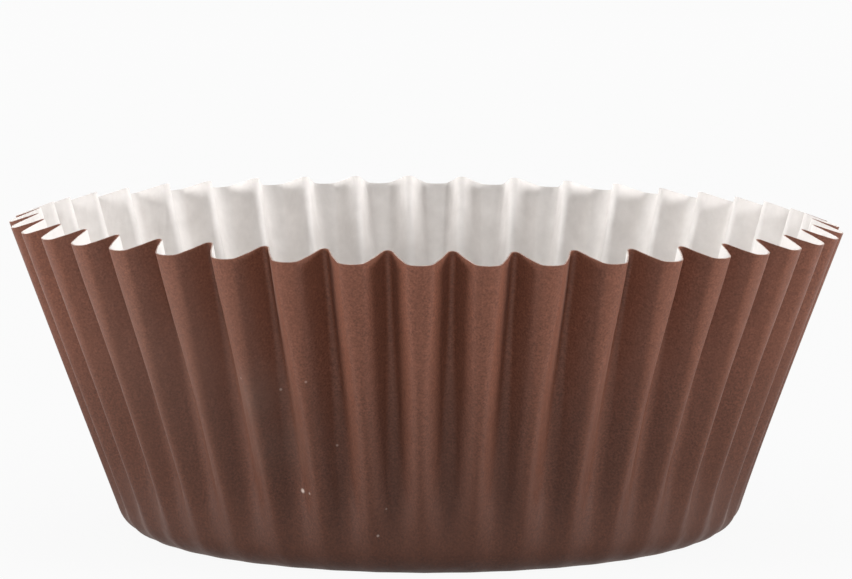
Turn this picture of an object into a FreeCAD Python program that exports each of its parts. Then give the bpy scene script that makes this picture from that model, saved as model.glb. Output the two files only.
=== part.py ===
import FreeCAD, Part
import math
import os

# A paper cupcake liner: one round sheet of greaseproof paper, pressed into a cup.
# The flat base turns up through a small round corner into a leaning wall.
# The wall takes up its spare paper in flutes, with broad crests outside and tight grooves between.
# Each groove grows from a point at the top of the corner and is deepest at the rim.
# Every surface is flat, a cylinder or a cone, since paper bends but doesn't stretch.
# Millimetres, +Z up. The origin is the middle of the base's underside, where the liner rests.
# One crest faces -Y, the front.

# Driving dimensions
BLANK_DIAMETER = 114.3       # the flat round sheet before pressing
BASE_DIAMETER = 51.0         # the flat part of the base, across its short straight sides
CORNER_RADIUS = 3.0          # outside of the round between base and wall
WALL_LEAN = 20.5             # degrees from the vertical, along a crest
PAPER_THICKNESS = 0.1
FLUTE_COUNT = 42
SIDE_TURN = 64.0             # degrees from the flat of a crest round to the side of a groove

# One flute at the rim, as shares of the flutes' spacing there
CREST_FLAT = 0.05            # width of the flat left along the middle of a crest
CREST_ROUND = 0.24           # radius of a crest's shoulders
VALLEY_ROUND = 0.07          # radius in the bottom of a groove

STRIP_TURN = 17.15           # most degrees in one strip of a bend

UP = FreeCAD.Vector(0, 0, 1)
SIDEWAYS = FreeCAD.Vector(0, 1, 0)
ORIGIN = FreeCAD.Vector(0, 0, 0)
FRONT_ANGLE = -90            # degrees from +X, where the first flute is built, to the front

base_apothem = BASE_DIAMETER / 2
lean = math.radians(WALL_LEAN)
corner_turn = math.pi / 2 - lean
half_pitch = math.pi / FLUTE_COUNT

# What the base and the corner leave of the sheet is the length of every line up the wall
wall_length = BLANK_DIAMETER / 2 - base_apothem - CORNER_RADIUS * corner_turn
corner_end_apothem = base_apothem + CORNER_RADIUS * math.sin(corner_turn)
corner_end_height = CORNER_RADIUS * (1 - math.cos(corner_turn))
rim_spacing = 2 * half_pitch * (corner_end_apothem + wall_length * math.sin(lean))

# Out of and up the flat of the crest that faces +X
crest_normal = FreeCAD.Vector(math.cos(lean), 0, -math.sin(lean))
crest_slope = FreeCAD.Vector(math.sin(lean), 0, math.cos(lean))


def on_ray(radius, angle, height):
    """The point at a radius and an angle round the axis."""
    return FreeCAD.Vector(radius * math.cos(angle), radius * math.sin(angle), height)


def turned(vector, axis, angle):
    """A vector turned about an axis through the origin."""
    return FreeCAD.Rotation(axis, math.degrees(angle)).multVec(vector)


def mirrored(vector):
    """The same point or direction on the other side of the flute's middle plane."""
    return FreeCAD.Vector(vector.x, -vector.y, vector.z)


def flat_face(points):
    return Part.Face(Part.makePolygon(points + points[:1]))


class Fold:
    """A cone of bent paper: a line as long as the wall, swept about an axis through its tip."""

    def __init__(self, tip, axis, start, turn):
        self.tip = tip
        self.axis = axis
        self.start = start
        self.turn = turn
        self.strips = math.ceil(turn / math.radians(STRIP_TURN))

    def rim_point(self, share):
        """The point on the rim at a share of the sweep."""
        return self.tip + turned(self.start, self.axis, share * self.turn) * wall_length

    def rim_edges(self):
        """The rim of each strip, as an arc through three points."""
        step = 1 / self.strips
        arcs = []
        for strip in range(self.strips):
            points = [self.rim_point((strip + share) * step) for share in (0, 0.5, 1)]
            arcs.append(Part.Arc(*points).toShape())
        return arcs

    def faces(self):
        """The cone in equal strips, side by side."""
        rise = self.start.dot(self.axis)
        outward = self.start - self.axis * rise
        radius = outward.Length * wall_length
        step = math.degrees(self.turn / self.strips)
        whole = Part.makeCone(0, radius, rise * wall_length, ORIGIN, UP, step)
        first = next(face for face in whole.Faces if isinstance(face.Surface, Part.Cone))
        frame = FreeCAD.Rotation(outward, self.axis.cross(outward), self.axis, "ZXY")
        first.Placement = FreeCAD.Placement(self.tip, frame)
        return [first.rotated(self.tip, self.axis, strip * step) for strip in range(self.strips)]


class Skin:
    """One side of the paper at the flute that faces +X, at a depth into the paper."""

    def __init__(self, depth):
        self.depth = depth
        apothem = corner_end_apothem - depth * math.cos(lean)
        height = corner_end_height + depth * math.sin(lean)
        self.tip = on_ray(apothem / math.cos(half_pitch), half_pitch, height)

        # A shoulder is a cone that touches the crest's flat and turns down into the groove
        shoulder = (CREST_ROUND * rim_spacing - depth) / wall_length
        sideways = (self.tip.y - CREST_FLAT * rim_spacing / 2) / wall_length
        flat_end = crest_slope * math.sqrt(1 - sideways**2) - SIDEWAYS * sideways
        axis = flat_end * math.sqrt(1 - shoulder**2) - crest_normal * shoulder
        turn = math.radians(SIDE_TURN)
        self.right_shoulder = Fold(self.tip, axis, flat_end, turn)
        side_top = turned(flat_end, axis, turn)
        side_normal = turned(crest_normal, axis, turn)
        self.left_shoulder = Fold(mirrored(self.tip), mirrored(axis), mirrored(side_top), turn)

        # The valley is a cone that touches both sides of the groove
        valley = (VALLEY_ROUND * rim_spacing + depth) / wall_length
        outward = on_ray(1, half_pitch, 0)
        steepness = math.hypot(side_normal.dot(outward), side_normal.z)
        angle = math.asin(valley / steepness)
        angle -= math.atan2(side_normal.z, side_normal.dot(outward))
        axis = outward * math.sin(angle) + UP * math.cos(angle)
        inward = UP * math.sin(angle) - outward * math.cos(angle)
        side_bottom = (axis - side_normal * valley) / math.sqrt(1 - valley**2)
        turn = 2 * (side_bottom - axis * side_bottom.dot(axis)).getAngle(inward)
        self.valley = Fold(self.tip, axis, turned(side_bottom, axis, -turn), turn)

        # From the last groove to the next, where the rim changes between round and straight
        self.side_foot = self.valley.rim_point(1)
        self.rim_corners = [
            mirrored(self.side_foot),
            self.left_shoulder.rim_point(0),
            self.left_shoulder.rim_point(1),
            self.right_shoulder.rim_point(0),
            self.right_shoulder.rim_point(1),
            self.side_foot,
        ]

    def wall_faces(self):
        """The crest's flat, its shoulders, the sides of the two grooves and one valley."""
        last, left_top, flat_left, flat_right, right_top, foot = self.rim_corners
        return [
            flat_face([mirrored(self.tip), self.tip, flat_right, flat_left]),
            flat_face([self.tip, right_top, foot]),
            flat_face([mirrored(self.tip), last, left_top]),
            *self.right_shoulder.faces(),
            *self.left_shoulder.faces(),
            *self.valley.faces(),
        ]

    def rim_edges(self):
        """The rim over the same surfaces, in the same order."""
        last, left_top, flat_left, flat_right, right_top, foot = self.rim_corners
        return [
            Part.LineSegment(flat_left, flat_right).toShape(),
            Part.LineSegment(right_top, foot).toShape(),
            Part.LineSegment(last, left_top).toShape(),
            *self.right_shoulder.rim_edges(),
            *self.left_shoulder.rim_edges(),
            *self.valley.rim_edges(),
        ]

    def corner_face(self):
        """The round from the base up to the wall, mitred to its neighbours."""
        middle = FreeCAD.Vector(base_apothem, -base_apothem, CORNER_RADIUS)
        radius = CORNER_RADIUS - self.depth
        points = [
            middle + FreeCAD.Vector(math.sin(turn), 0, -math.cos(turn)) * radius
            for turn in (0, corner_turn / 2, corner_turn)
        ]
        strip = Part.Arc(*points).toShape().extrude(SIDEWAYS * 2 * base_apothem)
        reach = on_ray(2 * corner_end_apothem, half_pitch, 0)
        wedge = flat_face([ORIGIN, mirrored(reach), reach]).extrude(UP * CORNER_RADIUS)
        return strip.common(wedge).Faces[0]

    def base_face(self):
        """The flat of the base, with one short straight side to each flute."""
        corner = on_ray(base_apothem / math.cos(half_pitch), half_pitch, self.depth)
        return flat_face([turned(corner, UP, 2 * half_pitch * side) for side in range(FLUTE_COUNT)])


def liner():
    """The whole pressed sheet, as one thin solid."""
    outside = Skin(0)
    inside = Skin(PAPER_THICKNESS)
    flute = []
    for skin in (outside, inside):
        flute += skin.wall_faces()
        flute.append(skin.corner_face())
    for outer_edge, inner_edge in zip(outside.rim_edges(), inside.rim_edges()):
        flute.append(Part.makeRuledSurface(outer_edge, inner_edge))
    faces = [outside.base_face(), inside.base_face()]
    for place in range(FLUTE_COUNT):
        for face in flute:
            faces.append(face.rotated(ORIGIN, UP, place * 360 / FLUTE_COUNT))
    shell = Part.Shell(faces)
    shell.sewShape()
    solid = Part.Solid(Part.Shell(shell.Faces))
    if solid.Volume < 0:
        solid.reverse()
    return solid.rotated(ORIGIN, UP, FRONT_ANGLE)


os.makedirs("parts", exist_ok=True)
shape = liner()
shape.exportStep("parts/liner.step")
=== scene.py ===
import bpy
import math
import numpy as np
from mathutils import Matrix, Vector


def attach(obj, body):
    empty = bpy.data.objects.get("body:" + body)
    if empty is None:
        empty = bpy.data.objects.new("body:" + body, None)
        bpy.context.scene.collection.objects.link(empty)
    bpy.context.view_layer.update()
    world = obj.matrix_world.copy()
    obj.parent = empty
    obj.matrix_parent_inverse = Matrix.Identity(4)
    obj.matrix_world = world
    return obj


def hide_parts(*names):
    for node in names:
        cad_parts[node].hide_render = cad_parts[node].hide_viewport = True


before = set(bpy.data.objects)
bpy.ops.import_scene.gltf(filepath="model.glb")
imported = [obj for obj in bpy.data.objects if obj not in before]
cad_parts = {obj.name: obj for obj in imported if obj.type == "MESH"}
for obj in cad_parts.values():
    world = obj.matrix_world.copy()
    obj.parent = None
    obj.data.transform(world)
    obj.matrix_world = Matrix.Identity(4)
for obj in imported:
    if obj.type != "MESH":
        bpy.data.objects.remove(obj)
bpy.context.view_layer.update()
rng = np.random.default_rng(42)

# A paper cupcake liner: one round sheet pressed into a cup.
# The flat base turns up through a round corner into a leaning wall with 42 flutes.
# The folded sheet is worked out in millimetres, and light and camera are set in metres.
MM = 0.001

# The sheet. The wall's line and the rim are those of the solid, and the corner is a little softer.
BLANK_RADIUS = 57.07
BASE_RADIUS = 25.156
CORNER_RADIUS = 3.5
LEAN = math.radians(20.5)                    # of the wall along a crest, from the vertical
PAPER = 0.11
CORNER_TURN = math.pi / 2 - LEAN
CORNER_LENGTH = CORNER_RADIUS * CORNER_TURN
CORNER_END = BASE_RADIUS + CORNER_LENGTH     # along the sheet, where the wall starts
WALL_LENGTH = BLANK_RADIUS - CORNER_END

# Where the crests stand, in degrees from the front (-Y) towards +X
FRONT_CRESTS = [-70.6, -61.9, -53.1, -44.6, -35.9, -27.0, -18.3, -9.6, -0.8,
                8.0, 16.3, 25.1, 33.7, 42.2, 50.4, 58.9, 67.3]
BACK_CRESTS = 25
BACK_SHIFT = 0.35                            # most degrees that a back crest is off its even place

# How a flute's section changes: its share at the foot of the wall and its share at the rim, and
# how far up the wall the change starts and ends
CREST_SHARE = (0.22, 0.32, 13, 26)           # of half a flute, from crest to groove
FLAT_SHARE = (0.24, 0.60, 12, 26)            # of the crest, its flatter middle
GROOVE_SHARE = (0.36, 0.11, 3, 24)           # of half a flute

# How far the paper has turned inward, as shares of its whole turn
FLAT_TURN = 0.28                             # at the end of the crest's flatter middle
CREST_TURN = 0.84                            # at the end of the crest
SIDE_SHARE = 0.34                            # of half a flute, over which the side turns the rest

# The flutes start in the corner and hold all the spare paper from a little way up the wall
CORNER_TAKES = 0.22                          # share of the spare paper that is held low down
LOW_FLUTES = (-CORNER_LENGTH, 1.5)           # where that share is taken up
FULL_FLUTES = (-0.5, 6)                      # where the rest is
LEAST_SPARE = 1e-5                           # so that the flat base can be solved as well
SPARE_SPREAD = 0.02                          # how much the flutes differ in spare paper
WANDER = math.radians(0.35)                  # how far a crest's line sways near the base
WANDER_START = 3                             # the sway grows over this length from the base's edge
WANDER_TURN = 3                              # how quickly it swings up the wall

# How a section is solved
SECTION_STEPS = 120
MOST_TURN = 1.5                              # radians
TURN_HALVINGS = 30

# Rows of the mesh along the sheet, and columns in half a flute
BASE_ROWS = [21.5, 23.6, BASE_RADIUS]
CORNER_ROWS = 11
WALL_ROWS = 38
FLAT_COLUMNS = (0, 0.6)                      # as shares of the crest's flatter middle
SHOULDER_COLUMNS = (0.1, 0.5, 1)             # as shares of the rest of the crest
SIDE_COLUMNS = 2
GROOVE_COLUMNS = 3
BASE_RINGS = [(3, 0.86), (3, 0.62), (4, 0.3)]    # one point is kept of so many; share of the radius

# The small unevenness of a cup pressed from paper
RIM_HEIGHT = 29
RIM_RADIUS = 38
RIM_TILT = 0.012                             # fall to the right, for each millimetre
RIM_DIP = 0.3                                # how much lower the rim is at both sides
BASE_WIDER = 0.007
BASE_RIGHT = 0.2
BASE_FULLER = 0.35                           # how much further the base's right side stands out
FULLER_RADIUS = 30
FULLER_FADE = 7                              # how quickly that ends above the floor

# Material slots
OUTSIDE, INSIDE, EDGE = range(3)


# The folded sheet

def smooth(start, end, x):
    """Rises from 0 to 1 between two places, without a kink at either."""
    t = min(1, max(0, (x - start) / (end - start)))
    return t * t * (3 - 2 * t)


def changing(first, last, start, end, up):
    """A value that goes smoothly from the first to the last between two places up the wall."""
    return first + (last - first) * smooth(start, end, up)


def crest_angles():
    """Angles of all crests, round from the left of the front, in radians."""
    first, last = FRONT_CRESTS[0], FRONT_CRESTS[-1]
    gap = (360 + first - last) / (BACK_CRESTS + 1)
    back = [last + gap * (k + 1) + rng.uniform(-BACK_SHIFT, BACK_SHIFT) for k in range(BACK_CRESTS)]
    return np.radians(np.array(FRONT_CRESTS + back))


def crest_line(distance):
    """Radius, height and direction of the crest line, at a distance along the sheet."""
    if distance <= BASE_RADIUS:
        return distance, 0.0, 0.0
    turn = min((distance - BASE_RADIUS) / CORNER_RADIUS, CORNER_TURN)
    up = max(0, distance - CORNER_END)
    radius = BASE_RADIUS + CORNER_RADIUS * math.sin(turn) + up * math.sin(LEAN)
    height = CORNER_RADIUS * (1 - math.cos(turn)) + up * math.cos(LEAN)
    return radius, height, turn


class Level:
    """One row round the sheet, with the section that its flutes have there."""

    def __init__(self, distance):
        self.distance = distance
        self.radius, self.height, self.direction = crest_line(distance)
        up = distance - CORNER_END
        self.share = min(1, max(0, up / WALL_LENGTH))
        self.taken = CORNER_TAKES * smooth(*LOW_FLUTES, up) + (1 - CORNER_TAKES) * smooth(*FULL_FLUTES, up)
        crest = changing(*CREST_SHARE, up)
        flat = crest * changing(*FLAT_SHARE, up)
        groove = changing(*GROOVE_SHARE, up)

        # How far the paper is turned at each step from crest to groove
        steps = (np.arange(SECTION_STEPS) + 0.5) / SECTION_STEPS
        ends = [0, flat, crest, crest + SIDE_SHARE]
        inward = np.interp(steps, ends, [0, FLAT_TURN, CREST_TURN, 1])
        back = np.clip((1 - steps) / groove, 0, 1)
        self.bend = np.minimum(inward, back)

        # Where the columns stand, closer together on the bends
        on_flat = [flat * part for part in FLAT_COLUMNS]
        on_shoulder = [flat + (crest - flat) * part for part in SHOULDER_COLUMNS]
        on_side = np.linspace(crest, 1 - groove, SIDE_COLUMNS + 1)[1:]
        on_groove = np.linspace(1 - groove, 1, GROOVE_COLUMNS + 1)[1:]
        self.columns = np.concatenate([on_flat, on_shoulder, on_side, on_groove])

    def section(self, step, turn):
        """Angle and inward depth of each step, for a turn of the flute's side."""
        slope = turn * self.bend
        depth = np.concatenate([[0], np.cumsum(np.sin(slope) * step)])
        middle = (depth[1:] + depth[:-1]) / 2
        advance = np.cos(slope) * step / (self.radius - middle * math.sin(self.direction))
        return np.concatenate([[0], np.cumsum(advance)]), depth

    def half_flute(self, half_angle, fullness):
        """Angle and inward depth of the columns from a crest to the next groove.

        The paper turns inward round the crest and on down the side, and turns back in the groove.
        The turn is solved so that a strip of the sheet's length here just reaches the groove.
        """
        flat_length = self.radius * half_angle
        spare = (self.distance * half_angle - flat_length) * self.taken * fullness
        step = (flat_length + max(spare, LEAST_SPARE)) / SECTION_STEPS
        low, high = 0.0, MOST_TURN
        for _ in range(TURN_HALVINGS):
            turn = (low + high) / 2
            reached = self.section(step, turn)[0][-1]
            if reached > half_angle:
                low = turn
            else:
                high = turn
        angle, depth = self.section(step, (low + high) / 2)
        angle *= half_angle / angle[-1]
        along = np.linspace(0, 1, SECTION_STEPS + 1)
        return np.interp(self.columns, along, angle), np.interp(self.columns, along, depth)

    def wander(self, sway):
        """How far a crest's line is off its place here."""
        most = WANDER * (1 - self.share) * smooth(0, WANDER_START, self.distance - BASE_RADIUS)
        return most * (sway[0] + sway[1] * math.sin(WANDER_TURN * self.share))

    def points(self, angle, depth):
        """Points at angles from the front, each at an inward depth."""
        radius = self.radius - depth * math.sin(self.direction)
        height = self.height + depth * math.cos(self.direction)
        return np.stack([radius * np.sin(angle), -radius * np.cos(angle), height], axis=1)


def sheet_rows():
    """Distances along the sheet of the rows, from inside the base to the rim."""
    corner = [BASE_RADIUS + CORNER_LENGTH * (k + 1) / CORNER_ROWS for k in range(CORNER_ROWS)]
    wall = [CORNER_END + WALL_LENGTH * (k + 1) / WALL_ROWS for k in range(WALL_ROWS)]
    return BASE_ROWS + corner + wall


def outside_points():
    """The outside of the sheet as a grid of points: rows by columns."""
    crests = crest_angles()
    count = len(crests)
    following = np.append(crests[1:], crests[0] + 2 * math.pi)
    half_angles = (following - crests) / 2
    fullness = 1 + rng.uniform(-SPARE_SPREAD, SPARE_SPREAD, count)
    sway = rng.uniform(-1, 1, (count, 2))
    grid = []
    for distance in sheet_rows():
        level = Level(distance)
        row = []
        for k, half_angle in enumerate(half_angles):
            angle, depth = level.half_flute(half_angle, fullness[k])
            angle = np.concatenate([angle, 2 * half_angle - angle[::-1][1:-1]])
            depth = np.concatenate([depth, depth[::-1][1:-1]])
            here = level.wander(sway[k])
            there = level.wander(sway[(k + 1) % count])
            drift = here + (there - here) * angle / (2 * half_angle)
            row.append(level.points(crests[k] + angle + drift, depth))
        grid.append(np.concatenate(row))
    return np.array(grid)


def flexed(points):
    """The sheet as it stands in the photo.

    The rim dips to the right and at both sides. The base is a little wider than the solid's and
    is set to the right, and its right side is fuller just above the floor.
    """
    p = points.copy()
    up = np.clip(p[..., 2] / RIM_HEIGHT, 0, 1)
    p[..., 2] -= RIM_TILT * p[..., 0] * up ** 2
    p[..., 2] -= RIM_DIP * (p[..., 0] / RIM_RADIUS) ** 2 * up ** 2
    wider = 1 + BASE_WIDER * (1 - up)
    p[..., 0] = p[..., 0] * wider + BASE_RIGHT * (1 - up)
    p[..., 1] *= wider
    p[..., 0] += BASE_FULLER * np.clip(p[..., 0] / FULLER_RADIUS, 0, 1) ** 2 * (1 - up) ** FULLER_FADE
    return p


def outward_normals(grid):
    around = np.roll(grid, -1, axis=1) - np.roll(grid, 1, axis=1)
    up = np.gradient(grid, axis=0)
    normals = np.cross(around, up)
    return normals / np.linalg.norm(normals, axis=2, keepdims=True)


class Surface:
    """Points and faces of one closed mesh, each face with its material slot."""

    def __init__(self):
        self.points = []
        self.faces = []
        self.slots = []

    def ring(self, points):
        """Adds points and gives their numbers."""
        start = len(self.points)
        self.points.extend(map(tuple, points))
        return range(start, len(self.points))

    def face(self, corners, slot):
        """Adds a face. Those of the inside are turned over."""
        self.faces.append(corners[::-1] if slot == INSIDE else corners)
        self.slots.append(slot)

    def band(self, low, high, slot):
        """Faces between two rings with as many points."""
        count = len(low)
        for j in range(count):
            k = (j + 1) % count
            self.face((low[j], low[k], high[k], high[j]), slot)

    def narrowing(self, outer, inner, slot):
        """Faces from a ring to the coarser ring inside it."""
        step = len(outer) // len(inner)
        for j, corner in enumerate(inner):
            chain = [outer[(j * step + i) % len(outer)] for i in range(step + 1)]
            for near, far in zip(chain, chain[1:]):
                self.face((corner, far, near), slot)
            self.face((corner, inner[(j + 1) % len(inner)], chain[-1]), slot)

    def base(self, ring, points, slot):
        """Closes the base inside a ring, with coarser and coarser rings round a middle point."""
        radius = np.hypot(points[:, 0], points[:, 1]).mean()
        height = float(points[:, 2].mean())
        for step, share in BASE_RINGS:
            points = points[::step].copy()
            outward = points[:, :2] / np.hypot(points[:, 0], points[:, 1])[:, None]
            points[:, :2] = outward * radius * share
            points[:, 2] = height
            inner = self.ring(points)
            self.narrowing(ring, inner, slot)
            ring = inner
        middle = self.ring([(0, 0, height)])[0]
        for j, corner in enumerate(ring):
            self.face((middle, ring[(j + 1) % len(ring)], corner), slot)

    def skin(self, grid, slot):
        """One side of the sheet, from the middle of the base to the rim. Gives its rim."""
        rings = [self.ring(row) for row in grid]
        for low, high in zip(rings, rings[1:]):
            self.band(low, high, slot)
        self.base(rings[0], grid[0], slot)
        return rings[-1]


def build_liner():
    outside = flexed(outside_points())
    inside = outside - outward_normals(outside) * PAPER
    flat_rows = len(BASE_ROWS)
    outside[:flat_rows, :, 2] = np.maximum(outside[:flat_rows, :, 2], 0)

    surface = Surface()
    outer_rim = surface.skin(outside, OUTSIDE)
    inner_rim = surface.skin(inside, INSIDE)
    surface.band(outer_rim, inner_rim, EDGE)

    mesh = bpy.data.meshes.new("liner_paper")
    mesh.from_pydata([(x * MM, y * MM, z * MM) for x, y, z in surface.points], [], surface.faces)
    mesh.polygons.foreach_set("material_index", surface.slots)
    mesh.polygons.foreach_set("use_smooth", [slot != EDGE for slot in surface.slots])
    rims = [set(outer_rim), set(inner_rim)]
    sharp = [any(rim.issuperset(edge.vertices) for rim in rims) for edge in mesh.edges]
    mesh.edges.foreach_set("use_edge_sharp", sharp)
    mesh.update()
    obj = bpy.data.objects.new("liner_paper", mesh)
    bpy.context.scene.collection.objects.link(obj)
    return obj


# Materials

# The limits of a noise's values: nearly all of them, and the same without the lowest
MOST_NOISE = (0.3, 0.7)
UPPER_NOISE = (0.35, 0.7)

# Coordinates times this make a pattern about three times as long up the wall as round it
UP_THE_WALL = (1, 1, 0.3)


class Nodes:
    """The nodes of a material or the world, with short ways to add the kinds used here."""

    def __init__(self, owner):
        owner.use_nodes = True
        self.nodes = owner.node_tree.nodes
        self.links = owner.node_tree.links

    def feed(self, socket, value):
        """Links an output to a socket, or sets the socket to a plain value."""
        if isinstance(value, bpy.types.NodeSocket):
            self.links.new(value, socket)
        else:
            socket.default_value = value

    def add(self, kind, **inputs):
        """A new node with its inputs fed by name, where an underscore stands for a space."""
        node = self.nodes.new(kind)
        for name, value in inputs.items():
            self.feed(node.inputs[name.replace("_", " ")], value)
        return node

    def combine(self, operation, *values, kind="ShaderNodeMath"):
        """The outputs of a math node that works on the values."""
        node = self.nodes.new(kind)
        node.operation = operation
        for socket, value in zip(node.inputs, values):
            self.feed(socket, value)
        return node.outputs

    def coords(self):
        """Places on the piece, in metres."""
        return self.nodes.new("ShaderNodeTexCoord").outputs["Object"]

    def noise(self, vector, scale, detail, rough):
        node = self.add("ShaderNodeTexNoise", Vector=vector, Scale=scale, Detail=detail, Roughness=rough)
        return node.outputs["Fac"]

    def ramp(self, value, limits, levels):
        """A value's range between two limits as a range between two levels."""
        node = self.add("ShaderNodeMapRange", Value=value, From_Min=limits[0], From_Max=limits[1],
                        To_Min=levels[0], To_Max=levels[1])
        return node.outputs["Result"]

    def mix(self, share, first, second, blend="MIX"):
        """Two colours mixed by a share."""
        node = self.nodes.new("ShaderNodeMix")
        node.data_type = "RGBA"
        node.blend_type = blend
        for name, value in (("Factor", share), ("A", first), ("B", second)):
            socket = next(i for i in node.inputs if i.name == name and i.enabled)
            self.feed(socket, value)
        return next(o for o in node.outputs if o.name == "Result" and o.enabled)

    def lengthened(self, vector):
        """Coordinates in which a pattern runs out longer up the wall than round it."""
        return self.combine("MULTIPLY", vector, UP_THE_WALL, kind="ShaderNodeVectorMath")["Vector"]

    def spots(self, coords, places):
        """A level inside round spots, 0 outside: (place, radius in mm, even share of it, level)."""
        total = None
        for place, radius, even, level in places:
            away = self.combine("DISTANCE", coords, place, kind="ShaderNodeVectorMath")["Value"]
            spot = self.ramp(away, (even * radius * MM, radius * MM), (level, 0))
            total = spot if total is None else self.combine("MAXIMUM", total, spot)["Value"]
        return total


class Material(Nodes):
    """A new material and its shader."""

    def __init__(self, name):
        self.material = bpy.data.materials.new(name)
        super().__init__(self.material)
        self.shader = self.nodes["Principled BSDF"]

    def shade(self, **inputs):
        """Feeds the shader's inputs by name, where an underscore stands for a space."""
        for name, value in inputs.items():
            self.feed(self.shader.inputs[name.replace("_", " ")], value)

    def bump(self, *heights):
        """Chained bumps: (height, distance in mm, strength)."""
        normal = None
        for height, distance, strength in heights:
            node = self.add("ShaderNodeBump", Height=height, Distance=distance * MM, Strength=strength)
            if normal is not None:
                self.feed(node.inputs["Normal"], normal)
            normal = node.outputs["Normal"]
        self.shade(Normal=normal)


# Pale specks, and pale patches of painted sheen, on the left of the front: degrees from the front, height,
# radius, the share of the radius that is even, and how strong it is
SPECKS = [
    (-21.3, 7.5, 0.26, 0.4, 0.80),
    (-19.6, 7.4, 0.17, 0.3, 0.45),
    (-14.5, 11.8, 0.15, 0.3, 0.40),
    (-6.7, 6.2, 0.12, 0.3, 0.30),
    (-8.2, 3.8, 0.16, 0.3, 0.45),
    (-27.7, 17.7, 0.13, 0.3, 0.40),
    (-23.1, 16.6, 0.16, 0.3, 0.50),
    (-17.4, 17.7, 0.15, 0.3, 0.35),
]
# Pale patches of painted sheen, in a paler and greyer brown
PAINTED_SHEEN_PATCHES = [
    (-26.2, 16.0, 4.8, 0.1, 0.34),
    (-24.1, 11.8, 4.2, 0.1, 0.26),
    (-42.6, 20.0, 15.0, 0.1, 0.20),
]
WELL_OUTSIDE = 60            # millimetres from the axis


def on_outside(piece, angle, height):
    """The point of a piece's outside at an angle from the front, at a height in millimetres."""
    turn = math.radians(angle)
    outward = Vector((math.sin(turn), -math.cos(turn), 0))
    start = outward * WELL_OUTSIDE * MM + Vector((0, 0, height * MM))
    return piece.ray_cast(start, -outward)[1]


def placed(piece, marks):
    """Marks with their points on the piece, in place of angle and height."""
    return [(on_outside(piece, angle, height), *rest) for angle, height, *rest in marks]


def brown_paper(piece):
    """The printed outside: grain, mottling and specks, with painted shade that darkens it low down,
    painted light that makes it paler near the rim, and pale patches of painted sheen.
    """
    paper = Material("brown_paper")
    coords = paper.coords()
    grain = paper.noise(coords, scale=5200, detail=2, rough=0.6)
    mottle = paper.noise(coords, scale=1100, detail=3, rough=0.6)
    cloud = paper.noise(coords, scale=120, detail=3, rough=0.5)
    crinkle = paper.noise(paper.lengthened(coords), scale=330, detail=2, rough=0.5)
    height = paper.add("ShaderNodeSeparateXYZ", Vector=coords).outputs["Z"]
    # Painted shade: the colour darkens towards the base
    painted_shade_near_base = paper.ramp(height, (1 * MM, 19 * MM), (1, 0))
    # Painted light: the colour pales towards the rim
    painted_light_near_rim = paper.ramp(height, (14 * MM, 29 * MM), (0, 1))

    dark = (0.089, 0.0325, 0.0198, 1)
    light = (0.224, 0.086, 0.0525, 1)
    colour = paper.mix(paper.ramp(grain, MOST_NOISE, (0, 1)), dark, light)
    layers = [
        (paper.ramp(mottle, MOST_NOISE, (0, 0.5)), (0.130, 0.048, 0.0281, 1), "MIX"),
        (paper.ramp(cloud, UPPER_NOISE, (0, 0.35)), (0.160, 0.0615, 0.0376, 1), "MIX"),
        # Painted sheen in pale patches
        (paper.spots(coords, placed(piece, PAINTED_SHEEN_PATCHES)), (0.185, 0.115, 0.090, 1), "MIX"),
        # Painted shade low down, then painted light near the rim
        (painted_shade_near_base, (0.49, 0.46, 0.43, 1), "MULTIPLY"),
        (painted_light_near_rim, (1.26, 1.23, 1.21, 1), "MULTIPLY"),
        (paper.spots(coords, placed(piece, SPECKS)), (0.62, 0.50, 0.44, 1), "MIX"),
    ]
    for share, tone, blend in layers:
        colour = paper.mix(share, colour, tone, blend)

    paper.shade(Base_Color=colour, Roughness=paper.ramp(mottle, MOST_NOISE, (0.42, 0.58)),
                Specular_IOR_Level=0.36, Sheen_Weight=0.12, Sheen_Roughness=0.3,
                Sheen_Tint=(1.0, 0.82, 0.74, 1))
    paper.bump((crinkle, 0.25, 0.5), (mottle, 0.04, 0.35), (grain, 0.02, 0.35))
    return paper.material


def white_paper():
    """The plain inside."""
    paper = Material("white_paper")
    coords = paper.coords()
    fibre = paper.noise(coords, scale=2600, detail=3, rough=0.6)
    mottle = paper.noise(coords, scale=420, detail=3, rough=0.6)
    crinkle = paper.noise(paper.lengthened(coords), scale=420, detail=3, rough=0.55)
    light = (0.81, 0.775, 0.75, 1)
    dark = (0.72, 0.685, 0.66, 1)
    paper.shade(Base_Color=paper.mix(paper.ramp(mottle, UPPER_NOISE, (0, 1)), light, dark),
                Roughness=paper.ramp(fibre, MOST_NOISE, (0.5, 0.68)))
    paper.bump((crinkle, 0.3, 0.6), (mottle, 0.06, 0.45), (fibre, 0.02, 0.4))
    return paper.material


def cut_edge():
    """The rim's thin cut edge, where brown and white fibres mix."""
    paper = Material("cut_edge")
    fibre = paper.noise(paper.coords(), scale=3000, detail=2, rough=0.6)
    dark = (0.34, 0.23, 0.19, 1)
    light = (0.60, 0.47, 0.41, 1)
    paper.shade(Base_Color=paper.mix(paper.ramp(fibre, MOST_NOISE, (0, 1)), dark, light), Roughness=0.7)
    paper.bump((fibre, 0.03, 0.5))
    return paper.material


liner = build_liner()
bpy.context.view_layer.update()
for material in (brown_paper(liner), white_paper(), cut_edge()):
    liner.data.materials.append(material)
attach(liner, "root")
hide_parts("liner")


# Floor, light and camera, in metres

FLOOR_REACH = 6
FLOOR_GREY = (0.5, 0.5, 0.5, 1)
FLOOR_SEEN = 0.93            # how white the floor is to the camera
FLOOR_MIRRORED = 0.4         # and in reflections
WORLD_LIGHT = 0.045          # the world's own light, which is seen as white
LIGHT_AIM = (0, 0, 0.015)

SIDE_ANGLE = math.radians(74)                # of the low lights, from the front
SIDE_DISTANCE = 0.9
SIDE_HEIGHT = 0.15

CAMERA_PLACE = (0, -0.4275, 0.0706)
CAMERA_AIM = (0, 0, 0.0219)
CAMERA_LENS = 197.9


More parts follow.
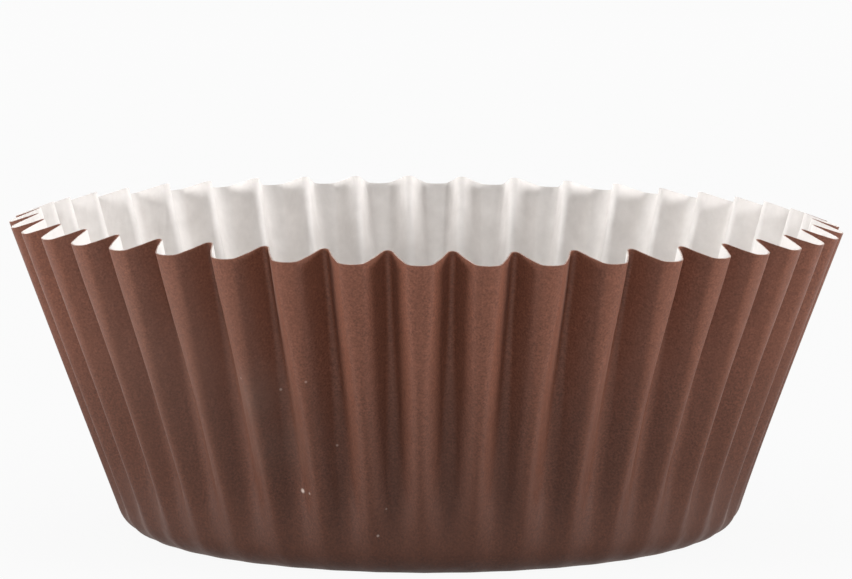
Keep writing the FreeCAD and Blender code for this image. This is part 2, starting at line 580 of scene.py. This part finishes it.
def aim(obj, place, target):
    """Puts an object in the scene, at a place and facing a target."""
    obj.location = place
    obj.rotation_mode = "QUATERNION"
    obj.rotation_quaternion = (Vector(target) - obj.location).to_track_quat("-Z", "Y")
    bpy.context.scene.collection.objects.link(obj)


def area_light(name, place, size, power):
    """A rectangle of light that faces the liner, with its width and height and its watts."""
    data = bpy.data.lights.new(name, "AREA")
    data.shape = "RECTANGLE"
    data.size, data.size_y = size
    data.energy = power
    aim(bpy.data.objects.new(name, data), place, LIGHT_AIM)


def floor_material():
    """Plain grey for the light, and white to the camera as in the photo."""
    paint = Material("floor")
    paint.shade(Base_Color=FLOOR_GREY, Roughness=0.9, Specular_IOR_Level=0.0)
    rays = paint.nodes.new("ShaderNodeLightPath").outputs
    seen = paint.combine("MULTIPLY", rays["Is Camera Ray"], FLOOR_SEEN)["Value"]
    white = paint.combine("MULTIPLY_ADD", rays["Is Glossy Ray"], FLOOR_MIRRORED, seen)["Value"]
    glow = paint.nodes.new("ShaderNodeEmission")
    blend = paint.nodes.new("ShaderNodeMixShader")
    for socket, value in zip(blend.inputs, (white, paint.shader.outputs[0], glow.outputs[0])):
        paint.feed(socket, value)
    paint.feed(paint.nodes["Material Output"].inputs["Surface"], blend.outputs[0])
    return paint.material


def make_floor():
    corners = [(-1, -1), (1, -1), (1, 1), (-1, 1)]
    mesh = bpy.data.meshes.new("floor")
    mesh.from_pydata([(x * FLOOR_REACH, y * FLOOR_REACH, 0) for x, y in corners], [], [(0, 1, 2, 3)])
    mesh.materials.append(floor_material())
    obj = bpy.data.objects.new("floor", mesh)
    bpy.context.scene.collection.objects.link(obj)
    return obj


def make_world():
    """White to the camera and in reflections, and a weak light from all round otherwise."""
    world = bpy.data.worlds.new("studio")
    bpy.context.scene.world = world
    studio = Nodes(world)
    rays = studio.nodes.new("ShaderNodeLightPath").outputs
    seen = studio.combine("MAXIMUM", rays["Is Camera Ray"], rays["Is Glossy Ray"])["Value"]
    back = studio.nodes["Background"].inputs
    studio.feed(back["Color"], (1, 1, 1, 1))
    studio.feed(back["Strength"], studio.ramp(seen, (0, 1), (WORLD_LIGHT, 1)))


def make_lights():
    """Low lights from the sides draw the flutes, and those above light the white inside."""
    across = SIDE_DISTANCE * math.sin(SIDE_ANGLE)
    forward = SIDE_DISTANCE * math.cos(SIDE_ANGLE)
    for side in (-1, 1):
        area_light(f"side{side}", (side * across, -forward, SIDE_HEIGHT), size=(0.4, 0.26), power=7.0)
        area_light(f"back{side}", (side * 0.5, 0.95, 0.35), size=(0.4, 0.5), power=3.7)
    area_light("front", (0, -1.2, 0.2), size=(0.3, 0.3), power=3.2)
    area_light("top", (0, -0.4, 1.0), size=(0.9, 0.9), power=2.0)
    area_light("ceiling", (0, 0.1, 1.1), size=(0.9, 0.9), power=4.4)


def make_camera():
    data = bpy.data.cameras.new("camera")
    data.sensor_width = 36
    data.lens = CAMERA_LENS
    camera = bpy.data.objects.new("camera", data)
    aim(camera, CAMERA_PLACE, CAMERA_AIM)
    bpy.context.scene.camera = camera


floor = make_floor()
make_world()
make_lights()
make_camera()
bpy.context.scene.view_settings.view_transform = "Standard"
